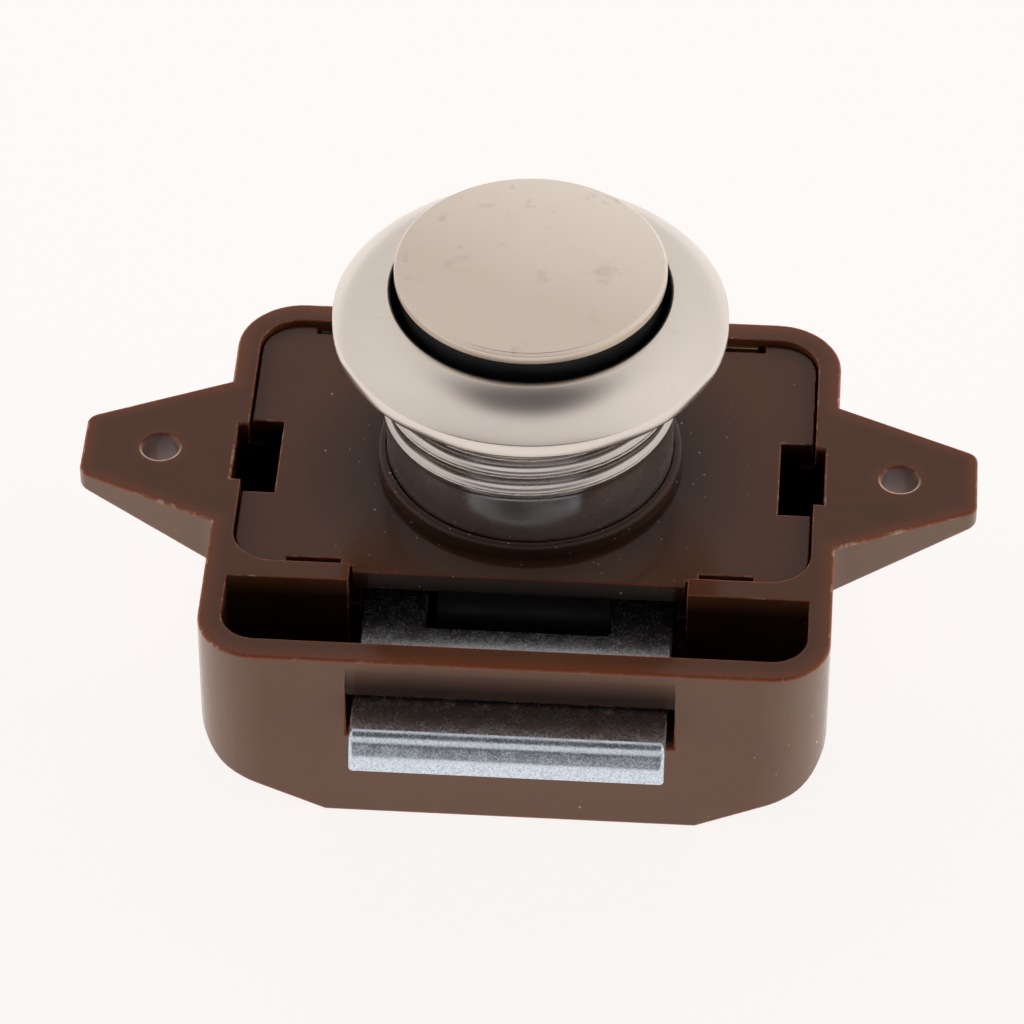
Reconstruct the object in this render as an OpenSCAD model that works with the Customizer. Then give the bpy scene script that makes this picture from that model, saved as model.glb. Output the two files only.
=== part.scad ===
// Push button cabinet lock: a moulded case with two screw ears, a snap-in cover,
// a sliding bolt, and a push-push knob that rises through a threaded rosette.
// Millimetres. The origin lies midway between the fixing holes on the mounting face,
// +Z points out through the door towards the knob, and the bolt points along -Y.
// The knob is drawn pushed in, which is the locked state with the bolt out.

/* [Case] */
// Width of the case
case_w = 51.6; // [50:0.1:60]
// From the line of the fixing holes to the outside of the front wall
case_front = 24.6; // [24:0.1:30]
// From the line of the fixing holes to the outside of the back wall
case_back = 19; // [18.5:0.1:24]
// Depth of the case below the mounting face
case_depth = 17.3; // [17:0.1:22]
// Thickness of the side walls
side_wall = 1.9; // [1.4:0.1:2.4]
// Thickness of the front wall
front_wall = 2.2; // [1.6:0.1:3]
// Thickness of the back wall
back_wall = 2.1; // [1.6:0.1:2.6]
// Thickness of the floor
floor_t = 1.6; // [1.2:0.1:2]
// Plan radius of the front corners
front_corner_r = 4.8; // [3:0.1:6]
// Plan radius of the back corners
back_corner_r = 5.5; // [3:0.1:6]
// Width of the flat underside between its two slopes
flat_w = 30.6; // [26:0.1:36]
// Slope of the underside beside the flat, in degrees
underside_slope = 25; // [15:1:30]
// Radius where a slope turns into a side
side_turn_r = 4.5; // [3:0.1:6]
// Thickness of the crossbars in front of the cover
crossbar_t = 2; // [1.5:0.1:3]
// From the line of the fixing holes to the back of the crossbars
crossbar_back = 13.1; // [12.8:0.1:14]
// Width of the bolt channel between the crossbars
channel_w = 27.8; // [26.6:0.1:30]
// Depth of the drafted recess at the top of the bolt slot
recess_depth = 0.4; // [0.2:0.1:1]

/* [Ears] */
// Length over both ears
overall_l = 75; // [72:0.5:90]
// Distance between the two fixing holes
hole_spacing = 62; // [60:0.5:66]
// Diameter of a fixing hole
hole_d = 3.1; // [2.5:0.1:3.5]
// Width of an ear at its root
ear_root_w = 17.4; // [14:0.1:20]
// Width of an ear at its tip
ear_tip_w = 7; // [6:0.1:10]
// Thickness of an ear at its root
ear_root_t = 5; // [3:0.1:7]
// Thickness of an ear at its tip
ear_tip_t = 1.75; // [1.5:0.05:3]
// Radius of the corners of an ear's tip
ear_tip_r = 1.2; // [0.5:0.1:2]

/* [Cover] */
// Depth of the cover's face below the mounting face
cover_recess = 0.5; // [0.3:0.1:1]
// Thickness of the cover
cover_t = 1.8; // [1.5:0.1:2.5]
// Plan radius of the cover's pocket
pocket_r = 3.5; // [2:0.1:5]
// Gap between the cover and its pocket
cover_gap = 0.2; // [0.1:0.05:0.4]
// Width of the ledge that carries the cover
ledge_w = 1.2; // [0.8:0.1:1.6]
// Thickness of that ledge
ledge_t = 1; // [0.8:0.1:1.2]
// How far the cover's tongue reaches past the back of the crossbars
tongue_reach = 0.5; // [0.3:0.1:1]
// Width of a snap notch
notch_w = 4.5; // [3:0.1:5]
// Depth of a snap notch in from the cover's edge
notch_depth = 1.1; // [0.9:0.1:1.5]
// Depth of a snap notch below the cover's face
notch_step = 1.1; // [0.5:0.1:1.2]
// Thickness of the hook that sits in a snap notch
hook_t = 0.4; // [0.3:0.05:0.45]
// From the middle of the case to the middle of a snap notch
notch_x = 17; // [16:0.1:18]
// Width along Y of a side opening in the cover
side_open_w = 8.8; // [6:0.1:10]
// Reach of a side opening in from the cover's edge
side_open_in = 2.9; // [2:0.1:3.2]
// Reach of a side opening into the wall
side_open_out = 0.85; // [0.4:0.05:0.9]
// How much shorter a side opening is at each end in the wall than in the cover
side_open_step = 1; // [0.5:0.1:2]
// Height of the collar above the mounting face
collar_h = 0.8; // [0.5:0.1:2]
// Thickness of the collar's wall
collar_wall = 0.7; // [0.6:0.1:1.5]
// Radius of the collar's outer rim
collar_round = 0.45; // [0.2:0.05:0.5]

/* [Knob] */
// Place of the knob's axis along Y
knob_y = 1.6; // [1.4:0.1:2]
// Radial gap between the cap and the rosette's bore
cap_gap = 0.32; // [0.3:0.01:1.5]
// Thickness of the cap
cap_t = 1.22; // [1:0.02:2]
// Width of the bevel round the cap's face
cap_bevel = 0.25; // [0.1:0.05:0.4]
// How far the cap stands above the rosette's lip when pushed in
cap_standout = 2.63; // [2.2:0.01:4]
// Radial gap between the stem and the rosette's bore
stem_gap = 0.7; // [0.6:0.05:0.9]
// Wall of the stem
stem_wall = 1.6; // [1.2:0.1:2.5]
// Diameter of the boss inside the stem
boss_d = 6.4; // [5.6:0.1:8]
// How far the knob rises when it is released
travel = 8; // [6:0.1:8]
// How far the knob goes in past the locked place
overpress = 0.8; // [0.5:0.1:0.9]

/* [Rosette] */
// Thickness of the door between the mounting face and the rosette's flange
panel_t = 13.87; // [10:0.01:20]
// Diameter of the flange
flange_d = 32.6; // [30:0.1:38]
// Height of the flange's upright band
band_h = 1.35; // [0.8:0.05:2]
// Height of the lip above the underside of the flange
lip_h = 4.17; // [3.5:0.01:5]
// Radius of the dome in section
dome_r = 7.3; // [6:0.1:12]
// Diameter of the bore
bore_d = 23; // [20:0.1:25]
// Wall of the sleeve at its smooth pilot
sleeve_wall = 0.5; // [0.4:0.05:0.8]
// Height of the thread's lower end above the mounting face
thread_start = 5.7; // [4:0.1:8]
// Pitch of the thread
thread_pitch = 1.9; // [1.5:0.1:2.5]
// Height of a thread crest above the pilot
crest_h = 0.26; // [0.2:0.02:0.4]

/* [Bolt] */
// Width of the bolt
bolt_w = 25.6; // [24.6:0.1:26]
// Thickness of the bolt's sheet
bolt_t = 2; // [1.6:0.1:2.2]
// Height of the bolt's folded nose
nose_h = 3.2; // [2.8:0.1:5]
// Height of the upright foot of the nose
nose_foot = 1.2; // [1:0.1:1.5]
// Lean of the nose's face above the foot, in degrees
nose_lean = 25; // [15:1:30]
// Radius where the bolt's top turns into the leaning face
nose_fold_r = 1.3; // [0.8:0.1:1.3]
// Radius where the leaning face turns into the foot
nose_turn_r = 2.5; // [1:0.1:2.5]
// How far the nose still stands out when the bolt is drawn back
nose_stand = 1; // [0:0.1:2]
// Room in the slot below the nose
nose_room = 0.7; // [0.2:0.1:1]
// Bolt travel for each millimetre of knob travel
wedge_ratio = 0.5; // [0.4:0.05:0.5]
// Width of the window that the plunger works in
window_w = 15.4; // [14.6:0.1:15.6]
// From the line of the fixing holes to the front edge of the window
window_front = 15.65; // [15.2:0.05:17]
// Radius of the window's front corners
window_r = 0.5; // [0.2:0.1:1]

/* [Springs and follower] */
// Wire of the plunger spring
plunger_wire = 0.8; // [0.6:0.1:0.9]
// Outer diameter of the plunger spring
plunger_coil_d = 7; // [6.8:0.1:7.2]
// Curls of the plunger spring
plunger_curls = 8; // [6:1:9]
// Wire of a bolt spring
bolt_wire = 0.45; // [0.4:0.05:0.5]
// Outer diameter of a bolt spring
bolt_coil_d = 3.8; // [3.6:0.1:3.9]
// Curls of a bolt spring
bolt_curls = 6; // [4:1:7]
// Diameter of the follower's wire
follower_d = 1; // [0.8:0.05:1.1]
// Sideways run of the follower for each millimetre of knob travel
track_slope = 0.25; // [0.15:0.05:0.25]
// Thickness of the leaf spring
leaf_t = 0.3; // [0.2:0.05:0.4]
// Width of the leaf spring
leaf_w = 3.2; // [2.4:0.1:3.6]

/* [Clearances] */
// Side clearance of a sliding piece
slide_gap = 0.3; // [0.2:0.05:0.5]
// Radial clearance of a turning or telescoping fit
fit_gap = 0.05; // [0.02:0.01:0.1]
// Clearance over and under the follower's wire
follower_gap = 0.6; // [0.5:0.05:0.8]
// Clearance between the wedge and the bolt
wedge_gap = 0.1; // [0.05:0.05:0.2]
// Clearance at the end of a travel
stop_gap = 0.2; // [0.1:0.05:0.4]

/* [Hidden] */
$fn = 96;
eps = 0.05;
plastic = [0.29, 0.22, 0.18];
nickel = [0.8, 0.77, 0.74];
zinc = [0.55, 0.57, 0.6];
black = [0.08, 0.08, 0.08];
brass = [0.78, 0.62, 0.3];

// Heights, from the mounting face down
cover_top = -cover_recess;
cover_bottom = cover_top - cover_t;
deck_bottom = cover_bottom - ledge_t;
follower_z = cover_bottom - follower_gap - follower_d / 2;
bolt_top = follower_z - follower_d / 2 - follower_gap;
bolt_bottom = bolt_top - bolt_t;
bolt_mid = (bolt_top + bolt_bottom) / 2;
nose_bottom = bolt_top - nose_h;
case_bottom = -case_depth;
floor_z = case_bottom + floor_t;
plunger_bottom = floor_z + overpress + 2 * stop_gap;
stop_top = cover_bottom - travel - stop_gap;
stem_bottom = cover_bottom + slide_gap;
seat_z = cover_top - cover_gap / 2;

// Plan places
inner_x = case_w / 2 - side_wall;
inner_front = front_wall - case_front;
inner_back = case_back - back_wall;
bolt_half = bolt_w / 2;
channel_half = channel_w / 2;
bolt_throw = wedge_ratio * travel;
bolt_nose_y = stop_gap / 2 - case_front - bolt_throw - nose_stand;
slot_half = bolt_half + 2 * slide_gap;
slot_gap = slide_gap * 0.75;

// Knob and rosette
lip_z = panel_t + lip_h;
cap_top = lip_z + cap_standout;
cap_bottom = cap_top - cap_t;
bore_r = bore_d / 2;
pilot_r = bore_r + sleeve_wall;
cap_r = bore_r - cap_gap;
stem_r = bore_r - stem_gap;
hole_r = stem_r + slide_gap + 2 * fit_gap;
collar_bore_r = pilot_r + 2 * fit_gap;
collar_r = collar_bore_r + collar_wall;
lip_bead_r = 0.3;
lip_r = bore_r + 2 * lip_bead_r;

// Plunger, whose wedge slopes back as it goes down
plunger_half = window_w / 2 - slide_gap;
plunger_inset = 3.3;
plunger_front = stem_r - plunger_inset;
plunger_back = 4.7;
stop_reach = hole_r + 0.9;
wedge_top = bolt_bottom + overpress;
wedge_foot = plunger_back + wedge_ratio * (wedge_top - plunger_bottom);
window_back = knob_y + plunger_back + wedge_gap + wedge_ratio * overpress;
web_t = 1.5;
bore_top = stem_bottom - web_t;
spring_bore_r = plunger_coil_d / 2 + slide_gap + 2 * fit_gap;
screw_r = 1.2;
screw_head_r = 2.4;
screw_head_h = 1.6;
screw_l = 11;
spigot_r = 2;
spigot_l = 4;

// Bolt tail, springs and their guides
bar_w = 2.4;
tail_w = 1.6;
shoulder_y = window_back + bar_w;
prong_w = 1.6;
prong_l = 2;
bolt_coil_x = bolt_half - bolt_coil_d / 2 - slide_gap;
tail_half = bolt_coil_x - bolt_coil_d / 2 - slide_gap;
stub_r = bolt_coil_d / 2 - bolt_wire - slide_gap;
stub_l = inner_back - shoulder_y - bolt_throw - prong_l - stop_gap;
rail_in = plunger_half + 2;
rail_out = bolt_half + slide_gap + 1.6;
rail_back = shoulder_y - 2 * slide_gap;
rail_top = bolt_bottom - fit_gap;
rib_w = 2.4;

// Push-push track and follower
track_depth = 1.2;
track_r = follower_d / 2 + slide_gap;
pivot_x = notch_x;
pivot_l = 5.6;
follower_tip = plunger_half - track_depth + fit_gap * 6;
track_in = [-overpress * track_slope, follower_z + overpress];
track_out = [travel * track_slope, follower_z - travel];
track_back = -2.4;
post_r = 2.2;

// Corner rounding: each corner is cut back to its two tangent points and a circle fills it
function unit(v) = v / norm(v);
function before(p, i) = unit(p[(i + len(p) - 1) % len(p)] - p[i]);
function after(p, i) = unit(p[(i + 1) % len(p)] - p[i]);
function half_angle(p, i) = acos(before(p, i) * after(p, i)) / 2;
function arc_centre(p, i, r) = p[i] + unit(before(p, i) + after(p, i)) * r / sin(half_angle(p, i));
function cut_corner(p, i, r) = let (c = r / tan(half_angle(p, i)))
    r > 0 ? [p[i] + before(p, i) * c, p[i] + after(p, i) * c] : [p[i]];

module round_corners(p, radii) {
    polygon([for (i = [0 : len(p) - 1]) each cut_corner(p, i, radii[i])]);
    for (i = [0 : len(p) - 1])
        if (radii[i] > 0)
            translate(arc_centre(p, i, radii[i])) circle(r = radii[i]);
}

module round_rect(x0, x1, y0, y1, front_r, back_r)
    round_corners([[x0, y0], [x1, y0], [x1, y1], [x0, y1]], [front_r, front_r, back_r, back_r]);

module block(x0, x1, y0, y1, z0, z1)
    translate([x0, y0, z0]) cube([x1 - x0, y1 - y0, z1 - z0]);

module slab(z0, z1)
    translate([0, 0, z0]) linear_extrude(z1 - z0) children();

// A section drawn in X and Z, carried along Y
module along_y(y0, y1)
    translate([0, y1, 0]) rotate([90, 0, 0]) linear_extrude(y1 - y0) children();

// A section drawn in Y and Z, carried along X
module along_x(x0, x1)
    translate([x0, 0, 0]) rotate([90, 0, 90]) linear_extrude(x1 - x0) children();

module both_sides() {
    children();
    mirror([1, 0, 0]) children();
}

module at_knob(z = 0)
    translate([0, knob_y, z]) children();

// Case section: upright sides, rounded into slopes that run down to the flat underside
module case_section(half, flat_half, bottom, top, turn_r) {
    rise = (half - flat_half) * tan(underside_slope);
    round_corners([[-half, top], [-half, bottom + rise], [-flat_half, bottom],
        [flat_half, bottom], [half, bottom + rise], [half, top]], [0, turn_r, 0, 0, turn_r, 0]);
}

module case_outside()
    intersection() {
        slab(case_bottom, 0)
            round_rect(-case_w / 2, case_w / 2, -case_front, case_back, front_corner_r, back_corner_r);
        along_y(-case_front, case_back)
            case_section(case_w / 2, flat_w / 2, case_bottom, 0, side_turn_r);
    }

module case_inside()
    intersection() {
        slab(floor_z, eps)
            round_rect(-inner_x, inner_x, inner_front, inner_back,
                front_corner_r - side_wall, back_corner_r - back_wall);
        along_y(inner_front, inner_back)
            case_section(inner_x, flat_w / 2 - floor_t * tan(underside_slope / 2), floor_z, eps,
                side_turn_r - side_wall);
    }

module pocket_plan(inset)
    round_rect(inset - inner_x, inner_x - inset, inset - crossbar_back, inner_back - inset,
        pocket_r - inset, pocket_r - inset);

// Deck round the cover: the crossbars, the rounded pocket and the ledge below it
module deck()
    difference() {
        block(-inner_x - eps, inner_x + eps, -crossbar_back - crossbar_t, inner_back + eps, deck_bottom, 0);
        slab(cover_bottom, eps) pocket_plan(0);
        slab(deck_bottom - eps, 0) pocket_plan(ledge_w);
        block(-channel_half, channel_half, -crossbar_back - crossbar_t - eps, 0, deck_bottom - eps, eps);
    }

// Walls below the crossbars, bolt rails, follower post and spring seats
module case_ribs() {
    both_sides() {
        block(channel_half, inner_x + eps, -crossbar_back - crossbar_t, -crossbar_back,
            case_bottom, deck_bottom + eps);
        block(rail_in, rail_out, -crossbar_back - eps, rail_back, case_bottom, rail_top);
        block(bolt_half + slide_gap, rail_out, -crossbar_back - eps, rail_back, case_bottom,
            bolt_top + wedge_gap);
        translate([bolt_coil_x, inner_back + eps, bolt_mid]) rotate([90, 0, 0])
            cylinder(r = stub_r, h = stub_l + eps);
    }
    translate([pivot_x, knob_y, case_bottom])
        cylinder(r = post_r, h = follower_z - follower_d - case_bottom);
    at_knob(case_bottom)
        cylinder(r = plunger_coil_d / 2 - plunger_wire - slide_gap, h = floor_t + web_t);
}

// Hooks over the cover's front notches and its back left notch
module snap_hook(x, y0, y1)
    block(x - notch_w / 2 + slide_gap, x + notch_w / 2 - slide_gap, y0, y1,
        cover_top - notch_step + fit_gap, cover_top - notch_step + fit_gap + hook_t);

module snap_hooks() {
    reach = notch_depth - slide_gap;
    for (x = [-notch_x, notch_x])
        snap_hook(x, -crossbar_back - eps, reach - crossbar_back);
    snap_hook(-notch_x, inner_back - reach, inner_back + eps);
}

module ear() {
    root = case_w / 2 - side_wall / 2;
    tip = overall_l / 2;
    tip_half = ear_tip_w / 2;
    grow = (ear_root_w / 2 - tip_half) / (tip - case_w / 2) * side_wall / 2;
    root_half = ear_root_w / 2 + grow;
    intersection() {
        slab(-ear_root_t, 0)
            round_corners([[root, -root_half], [tip, -tip_half], [tip, tip_half], [root, root_half]],
                [0, ear_tip_r, ear_tip_r, 0]);
        along_y(-ear_root_w, ear_root_w)
            polygon([[root, 0], [tip, 0], [tip, -ear_tip_t], [case_w / 2, -ear_root_t],
                [root, -ear_root_t]]);
    }
}

// Shallow recess above the bolt slot: it starts at the rim and deepens down to the slot
module front_recess()
    along_x(-slot_half, slot_half)
        polygon([[-case_front, -eps], [recess_depth - case_front, bolt_top], [-case_front - 1, bolt_top],
            [-case_front - 1, -eps]]);

module housing() color(plastic)
    difference() {
        union() {
            difference() {
                case_outside();
                case_inside();
            }
            deck();
            intersection() {
                case_outside();
                case_ribs();
            }
            snap_hooks();
            both_sides() ear();
        }
        front_recess();
        block(-slot_half, slot_half, -case_front - 1, inner_front + eps,
            nose_bottom - nose_room, bolt_top + slot_gap);
        both_sides() {
            translate([hole_spacing / 2, 0, -ear_root_t - 1]) cylinder(d = hole_d, h = ear_root_t + 2);
            block(inner_x - ledge_w - eps, inner_x + side_open_out, side_open_step - side_open_w / 2,
                side_open_w / 2 - side_open_step, -case_depth / 2, eps);
        }
        translate([pivot_x, knob_y, follower_z - pivot_l - stop_gap])
            cylinder(r = follower_d / 2 + fit_gap, h = pivot_l);
        block(notch_x - leaf_w / 2 - slide_gap, notch_x + leaf_w / 2 + slide_gap,
            inner_back - ledge_w - eps, inner_back, deck_bottom + ledge_t / 4, 0);
    }

module notch_cut(x, y0, y1, z0)
    block(x - notch_w / 2, x + notch_w / 2, y0, y1, z0, eps);

module cover_plate() color(plastic)
    difference() {
        union() {
            slab(cover_bottom, cover_top) {
                pocket_plan(cover_gap);
                translate([cover_gap - channel_half, -crossbar_back - tongue_reach])
                    square([channel_w - 2 * cover_gap, pocket_r]);
            }
            at_knob() rotate_extrude()
                round_corners([[0, cover_bottom], [collar_r, cover_bottom], [collar_r, collar_h],
                    [0, collar_h]], [0, 0, collar_round, 0]);
            both_sides()
                block(bolt_half - rib_w - slide_gap, bolt_half - slide_gap, 2 * rib_w - crossbar_back, 0,
                    bolt_top + wedge_gap, cover_bottom + eps);
        }
        at_knob(bolt_top) cylinder(r = hole_r, h = collar_h - bolt_top + 1);
        at_knob(seat_z) cylinder(r = collar_bore_r, h = collar_h - seat_z + 1);
        for (x = [-notch_x, notch_x])
            notch_cut(x, -crossbar_back - 1, notch_depth - crossbar_back, cover_top - notch_step);
        notch_cut(-notch_x, inner_back - notch_depth, inner_back + 1, cover_top - notch_step);
        notch_cut(notch_x, inner_back - notch_depth, inner_back + 1, cover_bottom - 1);
        both_sides()
            block(inner_x - side_open_in, inner_x + 1, -side_open_w / 2, side_open_w / 2,
                cover_bottom - 1, eps);
    }

// Rosette section: sleeve with thread crests, flange band, and a domed top with a rolled lip
module rosette_section() {
    flange_r = flange_d / 2;
    band_top = panel_t + band_h;
    chord = [lip_r - flange_r, lip_z - band_top];
    mid = [lip_r + flange_r, lip_z + band_top] / 2;
    inward = unit([chord[1], -chord[0]]);
    centre = mid - inward * sqrt(dome_r * dome_r - chord * chord / 4);
    translate([bore_r, seat_z]) square([pilot_r - bore_r, lip_z - lip_bead_r - seat_z]);
    translate([bore_r, panel_t]) square([flange_r - bore_r, band_h]);
    intersection() {
        translate(centre) circle(r = dome_r, $fn = 192);
        translate([bore_r, band_top - eps]) square([flange_r - bore_r, lip_z - band_top]);
    }
    translate([lip_r - lip_bead_r, lip_z - lip_bead_r]) circle(r = lip_bead_r);
    for (z = [thread_start + thread_pitch / 2 : thread_pitch : panel_t])
        translate([pilot_r, z])
            polygon([[-eps, -thread_pitch * 0.35], [crest_h, -thread_pitch * 0.12],
                [crest_h, thread_pitch * 0.12], [-eps, thread_pitch * 0.35]]);
}

module rosette() color(nickel)
    at_knob() rotate_extrude() rosette_section();

module knob_cap() color(nickel)
    at_knob() rotate_extrude()
        polygon([[0, cap_bottom - spigot_l], [spigot_r, cap_bottom - spigot_l], [spigot_r, cap_bottom],
            [cap_r, cap_bottom], [cap_r, cap_top - cap_bevel], [cap_r - cap_bevel, cap_top],
            [0, cap_top]]);

module knob_stem() color(black)
    at_knob() difference() {
        translate([0, 0, stem_bottom]) cylinder(r = stem_r, h = cap_bottom - stem_bottom);
        difference() {
            translate([0, 0, stem_bottom - eps])
                cylinder(r = stem_r - stem_wall, h = cap_bottom - stem_wall - stem_bottom + eps);
            translate([0, 0, stem_bottom - 1]) cylinder(d = boss_d, h = cap_bottom - stem_bottom);
        }
        translate([0, 0, stem_bottom - eps])
            cylinder(r = screw_r + fit_gap, h = bore_top + screw_l + stop_gap - stem_bottom + eps);
        translate([0, 0, cap_bottom - spigot_l - stop_gap])
            cylinder(r = spigot_r + fit_gap, h = spigot_l + 1);
    }

module knob_screw() color(zinc)
    at_knob(bore_top) difference() {
        union() {
            translate([0, 0, -screw_head_h]) cylinder(r = screw_head_r, h = screw_head_h);
            cylinder(r = screw_r, h = screw_l);
        }
        for (turn = [0, 90])
            rotate(turn) block(-1.4, 1.4, -0.3, 0.3, -screw_head_h - 1, -screw_head_h / 2);
    }

// Track in the plunger's side: the run out is straight, the run back goes round an island
module stroke(a, b) {
    run = b - a;
    translate(a) rotate(atan2(run[1], run[0])) translate([0, -track_r]) square([norm(run), 2 * track_r]);
    translate(a) circle(r = track_r);
    translate(b) circle(r = track_r);
}

module track() {
    low = [track_back, track_out[1] + travel * 0.4];
    high = [track_back, track_in[1] - travel * 0.2];
    stroke(track_in, track_out);
    stroke(track_out, low);
    stroke(low, high);
    stroke(high, track_in);
}

module plunger() color(black)
    at_knob() difference() {
        along_x(-plunger_half, plunger_half)
            polygon([[-plunger_front, stem_bottom], [-plunger_front, stop_top], [-stop_reach, stop_top],
                [-stop_reach, plunger_bottom], [wedge_foot, plunger_bottom], [plunger_back, wedge_top],
                [plunger_back, stem_bottom]]);
        translate([0, 0, plunger_bottom - eps])
            cylinder(r = spring_bore_r, h = bore_top - plunger_bottom + eps);
        translate([0, 0, bore_top - eps]) cylinder(r = screw_r + 4 * fit_gap, h = web_t + 1);
        along_x(plunger_half - track_depth, plunger_half + 1) track();
    }

// Coil spring along Z: one tube whose rings follow the helix
coil_rings = 8;
coil_sides = 6;
function coil_axis(r, l, wire, curls, t) =
    [r * cos(360 * t), r * sin(360 * t), wire / 2 + (l - wire) * t / curls];
function coil_ring(r, l, wire, curls, t) = let (
    c = coil_axis(r, l, wire, curls, t),
    along = unit([-r * sin(360 * t), r * cos(360 * t), (l - wire) / curls / (2 * PI)]),
    out = [cos(360 * t), sin(360 * t), 0],
    up = cross(out, along))
    [for (k = [0 : coil_sides - 1]) let (a = 360 * k / coil_sides)
        c + (out * cos(a) + up * sin(a)) * wire / 2];

module coil(name, d, l, wire, curls) {
    r = (d - wire) / 2;
    n = curls * coil_rings;
    rings = [for (i = [0 : n]) each coil_ring(r, l, wire, curls, i / coil_rings)];
    sides = [for (i = [0 : n - 1], k = [0 : coil_sides - 1]) let (
        a = i * coil_sides + k,
        b = i * coil_sides + (k + 1) % coil_sides)
        each [[a, a + coil_sides, b], [b, a + coil_sides, b + coil_sides]]];
    ends = [for (k = [1 : coil_sides - 2]) each [[0, k, k + 1],
        [n * coil_sides, n * coil_sides + k + 1, n * coil_sides + k]]];
    axis = [for (i = [0 : n]) coil_axis(r, l, wire, curls, i / coil_rings)];
    gap = min([for (i = [0 : n], j = [i + coil_rings / 2 : 1 : n]) norm(axis[i] - axis[j])]) - wire;
    echo(str(name, ": least gap of the coil to itself ", gap, " mm"));
    polyhedron(rings, concat(sides, ends));
}

module plunger_spring() color(zinc)
    at_knob(floor_z)
        coil("plunger_spring", plunger_coil_d, bore_top - floor_z - fit_gap, plunger_wire, plunger_curls);

module bolt_spring(name, side) color(zinc)
    translate([side * bolt_coil_x, inner_back, bolt_mid]) rotate([90, 0, 0])
        coil(name, bolt_coil_d, inner_back - shoulder_y - fit_gap, bolt_wire, bolt_curls);

module bolt_spring_left() bolt_spring("bolt_spring_left", -1);

module bolt_spring_right() bolt_spring("bolt_spring_right", 1);

// Section of the bolt: a sheet and its folded nose, trimmed by an outer form that has a leaning
// face above an upright foot
module bolt_section() {
    foot_top = nose_bottom + nose_foot;
    lean_y = bolt_nose_y + (bolt_top - foot_top) * tan(nose_lean);
    form_bottom = nose_bottom - nose_turn_r * 2;
    intersection() {
        union() {
            translate([bolt_nose_y, bolt_bottom]) square([shoulder_y - bolt_nose_y, bolt_t]);
            round_rect(bolt_nose_y, bolt_nose_y + bolt_t, nose_bottom, bolt_top, bolt_t / 8, 0);
        }
        round_corners([[shoulder_y, bolt_top], [lean_y, bolt_top], [bolt_nose_y, foot_top],
            [bolt_nose_y, form_bottom], [shoulder_y, form_bottom]], [0, nose_fold_r, nose_turn_r, 0, 0]);
    }
}

// Bolt: the folded sheet with its tail, prongs and window
module latch_bolt() color(zinc)
    difference() {
        union() {
            along_x(-bolt_half, bolt_half) bolt_section();
            block(-tail_half, tail_half, shoulder_y - eps, shoulder_y + tail_w, bolt_bottom, bolt_top);
            both_sides()
                block(bolt_coil_x - prong_w / 2, bolt_coil_x + prong_w / 2, shoulder_y - eps,
                    shoulder_y + prong_l, bolt_bottom + bolt_t / 8, bolt_top - bolt_t / 8);
        }
        slab(bolt_bottom - 1, bolt_top + 1)
            round_rect(-window_w / 2, window_w / 2, -window_front, window_back, window_r, 0);
    }

module cam_follower() color(zinc)
    translate([pivot_x, knob_y, follower_z]) {
        rotate([0, -90, 0]) cylinder(d = follower_d, h = pivot_x - follower_tip);
        sphere(d = follower_d);
        translate([0, 0, -pivot_l]) cylinder(d = follower_d, h = pivot_l);
    }

// Leaf spring: an upright tab in the back notch and an arm that keeps the follower down
module follower_leaf_spring() color(brass) {
    left = notch_x - leaf_w / 2;
    right = notch_x + leaf_w / 2;
    block(left, right, knob_y - post_r, inner_back, cover_bottom - leaf_t, cover_bottom);
    block(left, right, inner_back - leaf_t, inner_back, deck_bottom + ledge_t / 4, cover_top - leaf_t);
}

housing();
cover_plate();
rosette();
knob_cap();
knob_stem();
knob_screw();
plunger();
plunger_spring();
latch_bolt();
bolt_spring_left();
bolt_spring_right();
cam_follower();
follower_leaf_spring();
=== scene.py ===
# Push button cabinet lock: finishes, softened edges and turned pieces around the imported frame
import math

import bmesh
import bpy
import numpy as np
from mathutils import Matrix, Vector


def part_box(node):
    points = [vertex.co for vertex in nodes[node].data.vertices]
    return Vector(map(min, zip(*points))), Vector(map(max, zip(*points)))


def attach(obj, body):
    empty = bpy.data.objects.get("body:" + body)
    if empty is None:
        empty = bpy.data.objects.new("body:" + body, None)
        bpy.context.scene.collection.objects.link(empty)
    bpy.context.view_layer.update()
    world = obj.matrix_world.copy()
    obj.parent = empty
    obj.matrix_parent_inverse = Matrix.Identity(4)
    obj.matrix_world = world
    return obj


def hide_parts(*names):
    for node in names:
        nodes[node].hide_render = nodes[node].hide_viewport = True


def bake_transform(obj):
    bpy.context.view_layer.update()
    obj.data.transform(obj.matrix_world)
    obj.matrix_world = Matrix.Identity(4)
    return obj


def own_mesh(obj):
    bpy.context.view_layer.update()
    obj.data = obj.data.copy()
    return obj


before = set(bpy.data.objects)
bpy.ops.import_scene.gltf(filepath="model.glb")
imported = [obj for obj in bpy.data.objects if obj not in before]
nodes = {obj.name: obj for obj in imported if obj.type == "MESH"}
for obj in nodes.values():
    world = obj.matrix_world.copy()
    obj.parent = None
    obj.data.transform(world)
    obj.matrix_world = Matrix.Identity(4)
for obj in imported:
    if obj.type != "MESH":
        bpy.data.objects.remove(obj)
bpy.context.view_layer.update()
scene = bpy.context.scene
mm = 0.001
print("frame loaded:", len(nodes), "nodes")

# sizes read off the frame
caseLow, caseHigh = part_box("housing")
roseLow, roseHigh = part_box("rosette")
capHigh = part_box("knob_cap")[1]
knobX = (roseLow.x + roseHigh.x) / 2
knobY = (roseLow.y + roseHigh.y) / 2
floorZ = caseLow.z


# view of the photograph: the lens is long, and the middle of the frame is not on the origin
shot = dict(azimuth=3.78, elevation=43.0, distance=488.07 * mm, framePx=1024, focalPx=5830.0,
            originPx=(528.96, 463.07), sensor=36.0, clip=(0.01, 20.0))


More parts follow.
